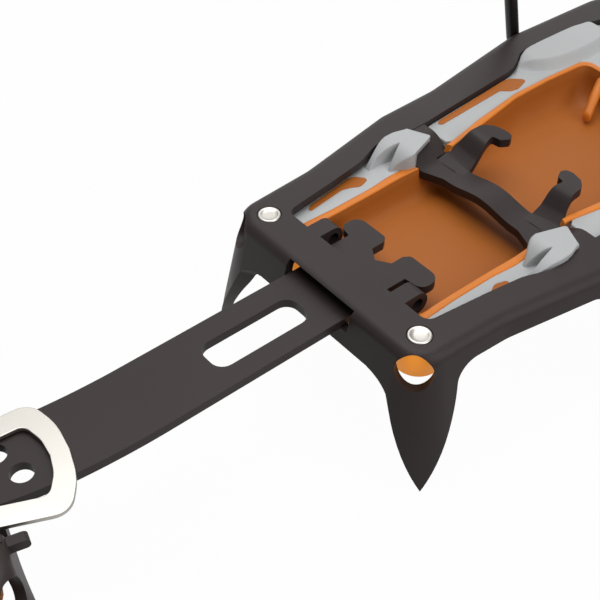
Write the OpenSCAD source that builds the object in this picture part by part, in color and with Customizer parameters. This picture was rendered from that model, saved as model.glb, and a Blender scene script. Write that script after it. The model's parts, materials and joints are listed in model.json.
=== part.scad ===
// Twelve-point mountaineering crampon for a right boot, in millimetres.
// X runs towards the toe, Y towards the wearer's left, Z up. The origin is the middle
// of the front section's rear crossbar, on the face that the boot stands on.

/* [Pressed steel] */
// Thickness of the sheet that both frames are pressed from
sheet_t = 2.5; // [2:0.1:3]
// Outer radius of the fold between a top plate and its walls
fold_r = 3.5; // [3:0.1:5]
// Lean of the pressed walls away from upright, in degrees
wall_lean = 11; // [5:0.5:13]
// Height of the top plates above the tips of the points
stand_h = 40; // [36:0.5:44]
// Depth of the wall along the sides
side_band = 6.2; // [5.5:0.1:8]
// Depth of the wall across the ends
end_band = 10.8; // [9:0.1:12]

/* [Points] */
// Half the width of a point where it leaves the wall
point_half_w = 8.4; // [7:0.1:9]
// Radius of the long curve down each side of a point
point_side_r = 60; // [45:1:90]
// Radius of the corner between a point and the wall beside it
point_fillet_r = 5; // [3:0.5:6]
// Radius of the relief hole above each corner point
relief_r = 4.7; // [3.5:0.1:5]

/* [Front section] */
// Distance of the rear wall behind the rivets
rear_edge = 7; // [6:0.1:9]
// Half the width across the rear corners
rear_half_w = 35.3; // [33:0.1:37]
// Half the width at the widest place, across the ball of the foot
ball_half_w = 48.4; // [46:0.1:50]
// Distance from the rivets to the widest place
ball_x = 112; // [106:0.5:116]
// Distance from the rivets to the toe wall
toe_edge = 166; // [162:0.5:172]
// Radius of the rear corners
rear_corner_r = 8; // [6:0.1:10]
// Distance from the origin to each rear rivet
rivet_y = 28; // [27:0.1:28.5]
// Distance of the middle points from the rivets
middle_point_x = 59; // [57:0.5:62]
// Where the cross strap begins
strap_x = 48.9; // [48:0.1:50]
// Width of the cross strap
strap_w = 7.7; // [7:0.1:8.4]
// Depth of the dips in the cross strap
strap_dip = 4.3; // [3:0.1:5]
// Reach of the front points past the toe wall
front_point_l = 32; // [26:0.5:38]
// Slope of the front points at their tips, in degrees
front_point_slope = 24; // [15:1:30]

/* [Link bar] */
// Width of the bar
bar_w = 21; // [19:0.1:22]
// Thickness of the bar
bar_t = 2.5; // [2.2:0.1:3]
// Depth of the bar's top face below the boot face
bar_drop = 4.2; // [3.8:0.1:5]
// Half the width across the two knobs of the bar's head
knob_half_w = 15.3; // [14:0.1:16]
// Angle through which the bar bends towards the inner side of the foot
bar_bend = 15; // [8:0.5:18]
// Length of the straight, drilled end
drilled_l = 76; // [70:1:82]
// Radius of the size holes
size_hole_r = 2.75; // [2.4:0.05:3]
// Distance between two holes in one row
size_pitch = 8; // [7:0.1:9]
// Distance between the two rows
row_gap = 7.4; // [7:0.1:8.5]
// Gap between parts that slide on each other
slide_gap = 0.3; // [0.2:0.05:0.5]

/* [Heel section] */
// Sideways offset of the heel section from the bar's line
heel_offset = -3.4; // [-4:0.1:-1]
// Half the width across the front corners
heel_front_half_w = 33; // [31:0.1:35]
// Half the width across the rear corners
heel_rear_half_w = 30; // [28:0.1:32]
// Length of the heel section
heel_l = 74; // [70:0.5:78]
// Radius of the front corners
heel_front_corner_r = 8; // [6:0.1:10]
// Radius of the rear corners
heel_rear_corner_r = 14; // [10:0.5:16]
// Where the heel bail turns, behind the heel section's front wall
heel_bail_back = 48; // [44:0.5:52]

/* [Size clip] */
// Thickness of the polished clip
clip_t = 1.2; // [1:0.1:1.5]
// Half the clip's width at its toe end
clip_half_w = 15.8; // [14:0.1:17]
// Half the width of the window in the clip
window_half_w = 10.3; // [9:0.1:11]
// Angle by which each side of the clip closes in, in degrees
clip_taper = 9.5; // [6:0.5:12]
// Radius of the two pegs
peg_r = 2.4; // [2:0.05:2.6]

/* [Wire bails and lever] */
// Diameter of the bail wire
wire_d = 4.1; // [3.6:0.1:4.4]
// Radial gap of the wire in its holes
wire_gap = 0.08; // [0.05:0.01:0.1]
// Distance of the toe bail's holes from the rivets
toe_bail_x = 118.5; // [112:0.5:120]
// Depth of the bail holes below the boot face
bail_drop = 8.5; // [8:0.1:9.5]
// Lean of the toe bail towards the heel, in degrees
toe_bail_lean = 13; // [0:1:30]
// Height of the toe bail above its holes
toe_bail_h = 62; // [52:1:70]
// Length of the heel bail from its holes to its bar
heel_bail_l = 56; // [50:1:64]
// Lean of the heel bail away from the boot, in degrees
heel_bail_lean = 26; // [15:1:40]
// Width of the heel lever
lever_w = 30; // [26:0.5:34]
// Height of the heel lever
lever_h = 74; // [66:1:82]
// Diameter of the height screw
screw_d = 5; // [4:0.1:6]

/* [Anti-snow plates] */
// Depth of the trough's floor below the boot face
trough_depth = 12; // [10:0.5:14]
// Wall of the orange trays
tray_t = 1.6; // [1.2:0.1:2]
// Height of the grey clips above the boot face
pad_rise = 1.5; // [1:0.1:2]

/* [Rivets] */
// Diameter of a rivet's head
rivet_head_d = 6.1; // [5:0.1:7]
// Depth of the recess that a rivet's head lies in
rivet_recess = 0.6; // [0.4:0.1:0.9]
// Diameter of a rivet's shank
rivet_d = 3.2; // [2.6:0.1:3.6]

/* [Hidden] */
$fn = 48;
steel = "#46403f";
bright = "#e6e4e0";
orange = "#cf6f25";
grey = "#b4b6b6";
black = "#2c2929";
join = 0.6;

// Outline of the front section's left half, as [x, y, corner radius]
front_path = [
    [-rear_edge, 0, 0],
    [-rear_edge, rear_half_w, rear_corner_r],
    [20, rear_half_w + 1.5, 25],
    [52, rear_half_w + 7.2, 6],
    [72, rear_half_w + 7.5, 25],
    [ball_x, ball_half_w, 30],
    [toe_edge - 15, ball_half_w - 1.9, 16],
    [toe_edge, ball_half_w - 17.5, 12],
    [toe_edge, 0, 0]];
// Outline of the heel section's left half, from its rear wall to its front wall
heel_path = [
    [-heel_l, 0, 0],
    [-heel_l, heel_rear_half_w, heel_rear_corner_r],
    [0, heel_front_half_w, heel_front_corner_r],
    [0, 0, 0]];

// Plan geometry of a path: heading of a side, turn and tangent length at a corner
function heading(p, i) = atan2(p[i + 1].y - p[i].y, p[i + 1].x - p[i].x);
function wrap(a) = a > 180 ? a - 360 : a < -180 ? a + 360 : a;
function turn(p, i) = i == 0 || i == len(p) - 1 ? 0 : wrap(heading(p, i) - heading(p, i - 1));
function tangent(p, i) = p[i].z * tan(abs(turn(p, i)) / 2);
function ahead(a, d) = [d * cos(a), d * sin(a)];
function flat(v) = [v.x, v.y];
// A corner moved inwards by d from both of its sides
function inset_point(p, i, d) =
    let (last = len(p) - 1,
         a = i == last ? heading(p, i - 1) : heading(p, max(i - 1, 0)),
         t = turn(p, i))
    flat(p[i]) + ahead(a + t / 2 - 90, d / cos(t / 2));
function inset(p, d) = [for (i = [0:len(p) - 1]) inset_point(p, i, d)];
function mirrored(q) = concat(q, [for (i = [len(q) - 1:-1:0]) if (q[i].y > 0.001) [q[i].x, -q[i].y]]);
// A closed outline through [x, y, radius] corners, with each corner rounded
function rounded(p, steps = 6) = [for (i = [0:len(p) - 1])
    let (n = len(p), before = p[(i + n - 1) % n], here = p[i], after = p[(i + 1) % n],
         a = atan2(here.y - before.y, here.x - before.x),
         b = atan2(after.y - here.y, after.x - here.x),
         t = wrap(b - a), side = t > 0 ? 1 : -1, l = here.z * tan(abs(t) / 2),
         start = flat(here) - ahead(a, l), centre = start + ahead(a + 90 * side, here.z))
    for (k = [0:here.z > 0 ? steps : 0])
        here.z > 0 ? centre + ahead(a - 90 * side + t * k / steps, here.z) : flat(here)];

// Distance from the outer wall line to the start of the fold
fold_in = fold_r * cos(wall_lean) - (fold_r - fold_r * sin(wall_lean)) * tan(wall_lean);
strip_w = 2.5;

// Section of the pressed edge: u outwards, v up, with u = 0 where the wall meets v = 0
module wall_section(depth) {
    translate([-fold_in - strip_w, -sheet_t]) square([strip_w + 0.01, sheet_t]);
    translate([-fold_in, -fold_r]) {
        intersection() {
            difference() {
                circle(fold_r, $fn = 96);
                circle(fold_r - sheet_t, $fn = 48);
            }
            polygon([[0, 0], [2 * fold_r * cos(wall_lean), 2 * fold_r * sin(wall_lean)],
                     [2 * fold_r, 3 * fold_r], [0, 3 * fold_r]]);
        }
        rotate(wall_lean) translate([fold_r - sheet_t, -(depth - fold_r) / cos(wall_lean) - 2])
            square([sheet_t, (depth - fold_r) / cos(wall_lean) + 2.01]);
    }
}

// The wall all along one half outline, to the full depth of the points
module half_skirt(path) {
    for (i = [0:len(path) - 2]) {
        a = heading(path, i);
        from = flat(path[i]) + ahead(a, i == 0 ? -join : tangent(path, i));
        to = flat(path[i + 1]) + ahead(a, i == len(path) - 2 ? join : -tangent(path, i + 1));
        translate([from.x, from.y, 0]) rotate([0, 0, a]) rotate([90, 0, 90])
            linear_extrude(norm(to - from)) wall_section(stand_h);
    }
    for (i = [1:len(path) - 2]) {
        a = heading(path, i - 1);
        t = turn(path, i);
        start = flat(path[i]) - ahead(a, tangent(path, i));
        centre = start + ahead(a + (t > 0 ? 90 : -90), path[i].z);
        translate([centre.x, centre.y, 0])
            if (t < 0) rotate([0, 0, a + 90 + t]) rotate_extrude(angle = -t, $fn = 96)
                translate([path[i].z, 0]) wall_section(stand_h);
            else rotate([0, 0, a - 90]) rotate_extrude(angle = t, $fn = 96)
                translate([path[i].z, 0]) mirror([1, 0]) wall_section(stand_h);
    }
}
// The plate stops a hair above the underside of the wall's flange, so no two faces coincide
module top_plate(path) {
    translate([0, 0, 0.02 - sheet_t]) linear_extrude(sheet_t - 0.02)
        polygon(mirrored(inset(path, fold_in + 0.6 * strip_w)));
}

// Curve of a point's side: a circle through its tip and the edge of its root
point_root_z = 12;
point_chord = norm([point_half_w, stand_h - point_root_z]);
point_mid = [point_half_w / 2, -(stand_h + point_root_z) / 2];
point_centre = point_mid + [-(stand_h - point_root_z), point_half_w] / point_chord
    * sqrt(pow(point_side_r, 2) - pow(point_chord / 2, 2));
function flank(z) = point_centre.x + sqrt(pow(point_side_r, 2) - pow(z - point_centre.y, 2));

// Face view of a point: t across, z up; each side ends in a band of wall
module point_face(band_a, reach_a, band_b, reach_b) {
    intersection() {
        translate([point_centre.x, point_centre.y]) circle(point_side_r, $fn = 240);
        translate([-point_centre.x, point_centre.y]) circle(point_side_r, $fn = 240);
        translate([-2 * point_half_w, -stand_h]) square([4 * point_half_w, stand_h + 2]);
    }
    for (side = [[1, band_a, reach_a], [-1, band_b, reach_b]]) scale([side[0], 1]) {
        z = -side[1] - point_fillet_r;
        w = flank(z);
        translate([0, -side[1]]) square([side[2], side[1] + 2]);
        difference() {
            translate([0, z]) square([w + point_fillet_r, point_fillet_r + 0.01]);
            translate([w + point_fillet_r, z]) circle(point_fillet_r, $fn = 64);
        }
    }
}
// A point cut through the wall from place towards direction a, over a length
module point_cut(place, a, length, band_a, reach_a, band_b, reach_b) {
    translate([place.x, place.y, 0]) rotate([0, 0, a]) rotate([90, 0, 90])
        linear_extrude(length) point_face(band_a, reach_a, band_b, reach_b);
}

// FRONT SECTION

rear_corner = [-rear_edge + rear_corner_r, rear_half_w - rear_corner_r];
rear_point_turn = 124.5;
toe_point_turn = 44;
toe_point_place = [toe_edge - 22, ball_half_w - 23.6];
// Relief hole above a corner point: its axis starts here from the corner's centre and runs at this angle
relief_start = [0.8, -0.8];
relief_turn = 141;
ear_half_l = 16;
ear_depth = bail_drop + wire_d / 2 + 2.6;

module front_skirt_shape() {
    // Bands of wall between the points
    translate([-rear_edge - 20, -rear_corner.y - 0.1, -end_band])
        cube([30, 2 * rear_corner.y + 0.2, end_band + 1]);
    translate([0, 0, -side_band]) cube([toe_edge + 20, ball_half_w + 20, side_band + 1]);
    point_cut(rear_corner, rear_point_turn, 30, end_band, 16, side_band, 16);
    point_cut([middle_point_x, 30], 90, 30, side_band, 16, side_band, 16);
    point_cut(toe_point_place, toe_point_turn, 45, side_band, 16, side_band, 16);
    // Ears for the toe bail
    translate([toe_bail_x - 3, 30, 0]) rotate([-90, 0, 0])
        linear_extrude(30) polygon(rounded([
            [-ear_half_l - 8, -1, 0], [ear_half_l + 8, -1, 0], [ear_half_l + 8, side_band - 1, 0],
            [ear_half_l - 3, ear_depth, 5], [3 - ear_half_l, ear_depth, 5],
            [-ear_half_l - 8, side_band - 1, 0]]));
}

// Heights of the cross strap's top, from the middle of the frame outwards
function ease(s) = (1 - cos(180 * max(0, min(1, s)))) / 2;
function strap_z(y) = y < 14
    ? -strap_dip + (strap_dip - 2.6) * (1 - ease(y / 12))
    : -strap_dip * (1 - ease((y - 19) / 9)) - 0.15 * (1 - ease((y - 31.5) / 2));
strap_end = strap_x + strap_w;
// The strap, or with a gap the room that it needs in what lies under it
module cross_strap(gap = 0) {
    half = [for (y = [0:1:36]) [y, strap_z(y)]];
    top = concat([for (i = [36:-1:1]) [-half[i].x, half[i].y]], half);
    intersection() {
        translate([strap_x - 10, 0, 0]) rotate([90, 0, 90]) linear_extrude(strap_w + 20) polygon(concat(
            [for (q = top) [q.x, q.y + 20 * gap]],
            [for (i = [len(top) - 1:-1:0]) [top[i].x, top[i].y - sheet_t - gap]]));
        translate([0, 0, -20]) linear_extrude(40) polygon(mirrored([
            [strap_x - gap, 0], [strap_x - gap, 14], [strap_x - 2.4 - gap, 20.5],
            [strap_x - 2.4 - gap, 40], [strap_end + 1.2 + gap, 40], [strap_end + 1.6 + gap, 20.5],
            [strap_end + gap, 13.5], [strap_end + gap, 0]]));
    }
}
// Hooks that rise from the strap's toe side, with their ends turned inwards
hook_tilt = 5;
hook_reach = 18;
function hook_z(x) = -strap_dip * (1 - sin(90 * max(0, min(1, x / hook_reach))));
module hook() {
    intersection() {
        translate([strap_end, 0, -20]) linear_extrude(40) polygon(rounded([
            [-3, 11.4, 0], [0.4, 11.6, 2], [5.5, 12.9, 4], [10.9, 14.6, 0.8], [11.5, 12, 1.2],
            [13.9, 10.7, 1], [15.5, 11.4, 1], [15.8, 13.5, 3], [14.7, 17.2, 3], [12.1, 19.7, 3],
            [5.9, 19.9, 4], [1.2, 20.7, 1.5], [-3, 21.1, 0]]));
        translate([strap_end, 11.5, -strap_dip]) rotate([hook_tilt, 0, 0]) translate([0, 20, strap_dip])
            rotate([90, 0, 0]) linear_extrude(40) polygon(concat(
                [[-3.1, -strap_dip]], [for (x = [0:1:hook_reach + 1]) [x, hook_z(x)]],
                [for (x = [hook_reach + 1:-1:0]) [x, hook_z(x) - sheet_t]], [[-3.1, -strap_dip - sheet_t]]));
    }
}
// Rolled lugs that the bar's knobs bear on
lug_r = 3.3;
lug_x = 9;
module rolled_lug() {
    translate([0, 13.1, 0]) rotate([-90, 0, 0]) linear_extrude(5) {
        translate([2, 0]) square([lug_x - 2, 1.7]);
        translate([lug_x, lug_r]) difference() {
            circle(lug_r);
            circle(lug_r - 1.6);
        }
    }
}
// Edge of the opening between the rails, from the rear crossbar to the toe crossbar
crossbar_edge = 4.5;
opening_path = [
    [crossbar_edge, 0, 0], [crossbar_edge, 25.9, 2.5], [22, 28, 30], [33, 29.6, 12], [40.5, 32.4, 5],
    [strap_x - 2.4, 32.7, 2], [strap_x, 31.2, 1.5], [strap_end + 1.3, 31.3, 0.5], [98.5, 34.3, 20],
    [106, 39.3, 8], [128, 38.8, 14], [toe_edge - 24, 35.3, 10], [toe_edge - 12, 20, 8],
    [toe_edge - 12, 0, 0]];
module front_opening(gap = 0) {
    polygon(mirrored(rounded([for (i = [0:len(opening_path) - 1])
        concat(inset_point(opening_path, i, gap), [opening_path[i].z])])));
}
// A front point: a tapered tongue of the plate that bends down past the toe wall
front_point_y = 15;
front_bend_r = 55;
function bend_side(r) = [for (a = [0:front_point_slope / 10:front_point_slope + 0.01])
    [r * sin(a), r * cos(a) - front_bend_r]];
module front_point() {
    tip = ahead(-front_point_slope, front_point_l);
    top = bend_side(front_bend_r);
    under = bend_side(front_bend_r - sheet_t);
    intersection() {
        translate([toe_edge - 8, front_point_y, -60]) linear_extrude(80) polygon(rounded([
            [-3, -8.5, 0], [8, -8.5, 6], [front_point_l, -4.8, 30], [front_point_l + 8, 0, 0],
            [front_point_l, 4.8, 30], [8, 8.5, 6], [-3, 8.5, 0]]));
        translate([toe_edge - 8, 40, 0]) rotate([90, 0, 0]) linear_extrude(60) polygon(concat(
            [[-3, 0]], top, [top[10] + tip, under[10] + tip], [for (i = [10:-1:0]) under[i]],
            [[-3, -sheet_t]]));
    }
}
slot_half_w = bar_w / 2 + 1.5;
module front_frame() color(steel) difference() {
    union() {
        difference() {
            top_plate(front_path);
            translate([0, 0, -5]) linear_extrude(10) front_opening();
        }
        for (s = [1, -1]) scale([1, s, 1]) intersection() {
            half_skirt(front_path);
            front_skirt_shape();
        }
        cross_strap();
        for (s = [0, 1]) mirror([0, s, 0]) {
            hook();
            rolled_lug();
            front_point();
        }
    }
    // Slot for the bar through the rear wall, up into the fold
    translate([-rear_edge - 5, -slot_half_w, -bar_drop - bar_t])
        cube([rear_edge + 3.2, 2 * slot_half_w, bar_drop + bar_t - 0.6]);
    for (s = [1, -1]) {
        translate([0, s * rivet_y, 0]) rivet_hole();
        translate([toe_edge - 7.5, s * 30, 0]) rivet_hole();
        translate([rear_corner.x + relief_start.x, s * (rear_corner.y + relief_start.y), -0.6 - relief_r])
            rotate([0, 0, s * relief_turn]) rotate([0, 90, 0]) cylinder(h = 30, r = relief_r);
        for (hole = [-10, 0]) translate([toe_bail_x + hole, s * 30, -bail_drop])
            rotate([-90 * s, 0, 0]) cylinder(h = 30, d = wire_d + 2 * wire_gap);
    }
}

// Levels of the plates between the rails: low behind the strap, higher before it
rear_level = -3.6;
toe_level = -1.7;
flange_t = 1.8;
rim_w = 1.7;
// Space of the trough, grown outwards by a wall: a part behind the strap and a part before it
module front_trough(grow, top) {
    hull() {
        translate([0, 0, -trough_depth - grow]) linear_extrude(0.1) polygon(mirrored([
            [8 - grow, 0], [8 - grow, 16.8 + grow], [54, 17.6 + grow], [54, 0]]));
        translate([0, 0, top]) linear_extrude(0.1) polygon(mirrored([
            [-1 - grow, 0], [-1 - grow, 20], [1 - grow, 21.5 + grow], [40, 21.8 + grow],
            [58, 20.2 + grow], [58, 0]]));
    }
    hull() {
        translate([0, 0, -trough_depth - grow]) linear_extrude(0.1) polygon(mirrored([
            [50, 0], [50, 17.4 + grow], [86, 18.6 + grow], [107, 18.2 + grow], [112 + grow, 14],
            [112 + grow, 0]]));
        translate([0, 0, top]) linear_extrude(0.1) polygon(mirrored([
            [48, 0], [48, 17.6 + grow], [61, 20.1 + grow], [75, 22.4 + grow], [89, 24.8 + grow],
            [103, 24.9 + grow], [117, 24 + grow], [118.5 + grow, 22.6], [118.5 + grow, 0]]));
    }
}
module front_tray() color(orange) difference() {
    union() {
        difference() {
            front_trough(tray_t, toe_level + 0.3);
            translate([-20, -60, rear_level + 0.4]) cube([20 + strap_x + 1, 120, 20]);
        }
        // Apron that closes the rear of the trough inside the folded wall
        intersection() {
            translate([0, 0, -8.9]) linear_extrude(8.5 - sheet_t) difference() {
                polygon(rounded([[-4.4, -32.3, 6], [-4.4, 32.3, 6], [6, 33, 3], [6, -33, 3]]));
                polygon(rounded([[-2.6, -30.5, 4.5], [-2.6, 30.5, 4.5], [7, 31.5, 0], [7, -31.5, 0]]));
            }
            translate([-10, -40, -20]) cube([15, 80, 20]);
        }
        for (s = [1, -1]) scale([1, s, 1]) translate([-3, 21, -sheet_t - 1.4]) cube([7.2, 10.5, 1.4]);
    }
    front_trough(0, toe_level + 3);
    translate([-20, -slot_half_w, -bar_drop - bar_t - 0.3]) cube([24, 2 * slot_half_w, 20]);
    // Notches for the strap, room for the hooks, and holes for the rivets
    cross_strap(0.3);
    translate([strap_end - 3, -21, -strap_dip - sheet_t - 0.6]) cube([hook_reach + 2, 42, 20]);
    for (s = [1, -1]) translate([0, s * rivet_y, -20]) {
        cylinder(h = 30, d = rivet_d + 0.1);
        translate([0, 0, 13]) cylinder(h = 3.1, d = rivet_head_d);
    }
}

// Grey plate beside the trough, one on each side, snapped over the root of the strap
module slab(z0, z1, points) {
    translate([0, 0, z0]) linear_extrude(z1 - z0) polygon(points);
}
// Side view of the clip that rises over the strap, extruded across its width
clip_low = 0.15;
module clip_side_view(low) {
    translate([0, 40, 0]) rotate([90, 0, 0]) linear_extrude(30) polygon([
        [40.5, low], [40.5, -3.4], [43.5, pad_rise - 2.7], [46.3, pad_rise - 0.6], [strap_x, pad_rise],
        [54.6, pad_rise], [54.6, clip_low], [strap_x - 2.8, clip_low], [strap_x - 2.8, low]]);
}
module clip_pad() {
    intersection() {
        clip_side_view(rear_level - 0.5);
        slab(-10, 10, [[40, 25], [49, 25], [52, 24.9], [51.5, 31.9], [47, 33], [40, 32]]);
    }
    intersection() {
        clip_side_view(rear_level + 0.6);
        slab(-10, 10, [[43, 25.1], [45, 22.6], [52.3, 22.5], [54.5, 24.8], [51.5, 31.8], [47, 30]]);
    }
}
module toe_bump() {
    slab(toe_level - 0.3, 0.1, [[98.9, 32.4], [100.5, 30.2], [107, 28.9], [122, 28.4], [133, 27.5],
        [137.5, 29.5], [138.2, 33], [136, 40], [102, 40]]);
    slab(0, pad_rise - 0.5, [[101.4, 32.6], [102.7, 31.2], [108, 30], [122, 29.6], [132, 28.9],
        [135.2, 30.6], [135.6, 33], [132.5, 35.8], [127, 37.2], [116, 37.8], [107.5, 37.6], [103.4, 35.2]]);
}
module front_insert() {
    difference() {
        union() {
            slab(rear_level - flange_t, rear_level, [[4.9, 23.4], [45.6, 23.9], [45.6, 37.5],
                [30, 34.6], [20, 32.8], [4.9, 31]]);
            // Web under the strap and flange under the rail
            slab(rear_level - 1.3, -sheet_t - 0.4, [[45.5, 28.5], [64, 29], [64, 35], [45.5, 33]]);
            slab(-sheet_t - flange_t, -sheet_t, [[61.5, 25.2], [75, 26.5], [89, 28.8], [103, 28.9],
                [116, 28], [122, 24], [122, 14], [toe_edge - 8.5, 14], [toe_edge - 8.5, 22],
                [toe_edge - 12.5, 31.5], [toe_edge - 22, 40.5], [128, 42.6], [112, 43], [100, 41],
                [72, 37.5], [61.5, 36]]);
            // Face inside the opening, with the clip and the bump on it
            intersection() {
                translate([0, 0, -20]) linear_extrude(40) front_opening(0.3);
                union() {
                    slab(-sheet_t - 0.5, toe_level, rounded([[strap_end + 2.1, 22.4, 2], [75, 24.7, 10],
                        [89, 27, 10], [103, 27.1, 10], [117, 26.2, 3], [120.7, 22.8, 2], [120.7, 0.3, 0],
                        [toe_edge - 10, 0.3, 0], [toe_edge - 10, 42, 0], [100, 42, 0], [94, 36, 0],
                        [strap_end + 2.1, 32.2, 1.5]]));
                    clip_pad();
                    toe_bump();
                }
            }
        }
        // Recess in the clip's ramp
        translate([0, 0, -2.4]) linear_extrude(10) polygon([[39, 27.2], [48, 28.3], [39, 29.4]]);
        slab(rear_level - 0.8, 10, inlay_outline);
        slab(toe_level - 0.7, 10, toe_inlay_outline);
    }
}
inlay_outline = rounded([[11.2, 26, 0.5], [13.4, 27.35, 0.8], [28.4, 29.5, 1], [30.2, 29, 1],
    [32.9, 25.9, 1], [28.7, 24.7, 2], [26.3, 26, 1.5], [23.7, 26.8, 1.5], [12.2, 25.4, 0.4]], 4);
toe_inlay_outline = rounded([[62.6, 30.2, 0.5], [63.9, 31.1, 0.8], [92.5, 33.4, 1.5], [95, 32.9, 1.5],
    [98.7, 29.3, 1], [93, 27.6, 2], [90.3, 28.2, 1.5], [88.1, 30.3, 1.5], [63.4, 29.1, 0.5]], 4);
module front_insert_left() color(grey) front_insert();
module front_insert_right() color(grey) mirror([0, 1, 0]) front_insert();
module front_inlays() color(orange) for (s = [0, 1]) mirror([0, s, 0]) {
    slab(rear_level - 0.8, rear_level + 0.15, inlay_outline);
    slab(toe_level - 0.7, toe_level + 0.15, toe_inlay_outline);
}

// A rivet through a stack: polished head on top, formed head below
module rivet(grip) {
    difference() {
        translate([0, 0, -rivet_recess])
            cylinder(h = rivet_recess, d1 = rivet_head_d, d2 = rivet_head_d - 0.4);
        translate([0, 0, -0.15]) cylinder(h = 1, d = rivet_head_d - 1.8);
    }
    translate([0, 0, -grip - 0.5]) cylinder(h = grip + 0.5 - rivet_recess / 2, d = rivet_d);
    translate([0, 0, -grip - 1]) cylinder(h = 1, d = rivet_head_d - 1);
}
// Hole for a rivet, with the recess for its head
module rivet_hole() {
    translate([0, 0, -10]) cylinder(h = 20, d = rivet_d);
    translate([0, 0, -rivet_recess]) cylinder(h = 10, d = rivet_head_d + 0.4);
}
module front_rivets() color(bright) for (s = [1, -1]) {
    translate([0, s * rivet_y, 0]) rivet(sheet_t + 1.4);
    translate([toe_edge - 7.5, s * 30, 0]) rivet(sheet_t);
}

// LINK BAR

// Centre line: straight, a gentle arc, a tighter arc, then straight and drilled
bend_start = 57.5;
gentle_r = 210;
gentle_turn = 5.5;
tight_r = 110;
tight_turn = bar_bend - gentle_turn;
bar_y = 0.7;
joggle_x = -1;
function arc_end(p, a, r, t) = p + r * [-(sin(a + t) - sin(a)), cos(a) - cos(a + t)];
gentle_end = arc_end([-bend_start, bar_y], 0, gentle_r, gentle_turn);
drilled_start = arc_end(gentle_end, gentle_turn, tight_r, tight_turn);

// Centre line of the bar, as [x, y, angle turned], from its head to its drilled end
function bar_bend_points(p, a, r, t, n) =
    [for (k = [1:n]) concat(arc_end(p, a, r, t * k / n), [a + t * k / n])];
bar_line = concat([[joggle_x - 0.5, bar_y, 0], [-bend_start, bar_y, 0]],
    bar_bend_points([-bend_start, bar_y], 0, gentle_r, gentle_turn, 8),
    bar_bend_points(gentle_end, gentle_turn, tight_r, tight_turn, 12));
bar_end = drilled_start - drilled_l * [cos(bar_bend), -sin(bar_bend)];
module bar_shape() {
    half = bar_w / 2;
    polygon(concat(
        [for (q = bar_line) flat(q) + half * [sin(q.z), cos(q.z)]],
        [for (b = [90:10:270]) bar_end + half * [cos(b - bar_bend), sin(b - bar_bend)]],
        [for (i = [len(bar_line) - 1:-1:0]) flat(bar_line[i])
            - half * [sin(bar_line[i].z), cos(bar_line[i].z)]]));
}
// Half of the head, from a neck of half width n to the end of a knob
function half_head(n) = rounded([
    [joggle_x - 6, 0, 0], [joggle_x - 6, n, 0], [12.5, n, 0], [12.9, 12.2, 0.6],
    [12.9, knob_half_w, 2.6], [19.4, knob_half_w, 3], [19.4, 4.8, 1.2],
    [17.6, 3.6, 1], [13.8, 3.6, 0.5], [11.5, 0, 0]]);
module head_shape() {
    near = half_head(bar_w / 2 - bar_y);
    polygon(concat(half_head(bar_w / 2 + bar_y),
        [for (i = [len(near) - 1:-1:0]) if (near[i].y > 0.001) [near[i].x, -near[i].y]]));
}
module link_bar() color(steel) difference() {
    union() {
        // Head, level with the underside of the crossbar
        translate([0, 0, -sheet_t - slide_gap - bar_t]) linear_extrude(bar_t) difference() {
            head_shape();
            translate([-20, -20]) square([20 + joggle_x + 3, 40]);
        }
        // Step down to the level of the slot
        translate([joggle_x, bar_y + bar_w / 2, 0]) rotate([90, 0, 0]) linear_extrude(bar_w) polygon([
            [3.01, -sheet_t - slide_gap], [3.01, -sheet_t - slide_gap - bar_t],
            [-1, -bar_drop - bar_t], [-1, -bar_drop]]);
        translate([0, 0, -bar_drop - bar_t]) linear_extrude(bar_t) bar_shape();
    }
    // Long hole that lightens the bar
    translate([0, 0, -30]) linear_extrude(60) polygon(rounded([
        [-12.5, -4.4, 3.4], [-12.5, 4.9, 3.4], [-40.4, 4.9, 3.4], [-40.4, -4.4, 3.4]]));
    on_bar() for (i = [0:10], row = [1, -1])
        translate([hole_u(i, row), bar_side(hole_u(i, row)) + row_shift + row * row_gap / 2, -30])
            cylinder(h = 60, r = size_hole_r);
}
module on_bar() translate([drilled_start.x, drilled_start.y, 0]) rotate([0, 0, -bar_bend]) children();
// Holes in two staggered rows, counted from the first one, and where the pegs sit
first_hole = 6.6;
row_shift = -0.8;
peg_index = 3;
function hole_u(i, row) = first_hole - (i + (row > 0 ? 0.5 : 0)) * size_pitch;
// Sideways place of the bar's middle ahead of the drilled end, where it still bends
function bar_side(u) = u > 0 ? tight_r - sqrt(pow(tight_r, 2) - pow(u, 2)) : 0;

// TOE BAIL

// A wire bail in its own plane: pins at the origin, legs up, and a bowed top
module bail(half_w, pin_l, leg_l, corner_r) {
    top_w = half_w - corner_r;
    for (s = [1, -1]) scale([1, s, 1]) {
        translate([0, half_w - pin_l - 3, 0]) rotate([-90, 0, 0]) cylinder(h = pin_l, d = wire_d);
        translate([0, half_w - 3, 3]) rotate([90, 0, 90]) rotate([0, 0, -90])
            rotate_extrude(angle = 90) translate([3, 0]) circle(d = wire_d, $fn = 32);
        translate([0, half_w, 3]) cylinder(h = leg_l - 3, d = wire_d);
        translate([0, half_w - corner_r, leg_l]) rotate([90, 0, 90])
            rotate_extrude(angle = 90) translate([corner_r, 0]) circle(d = wire_d, $fn = 32);
    }
    translate([0, -top_w, leg_l + corner_r]) rotate([-90, 0, 0]) cylinder(h = 2 * top_w, d = wire_d);
}
toe_leg_y = 52.6;
module toe_bail() color(steel) translate([toe_bail_x, 0, -bail_drop]) rotate([0, -toe_bail_lean, 0])
    bail(toe_leg_y, 6.5, toe_bail_h - 22, 22);

// HEEL SECTION

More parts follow.
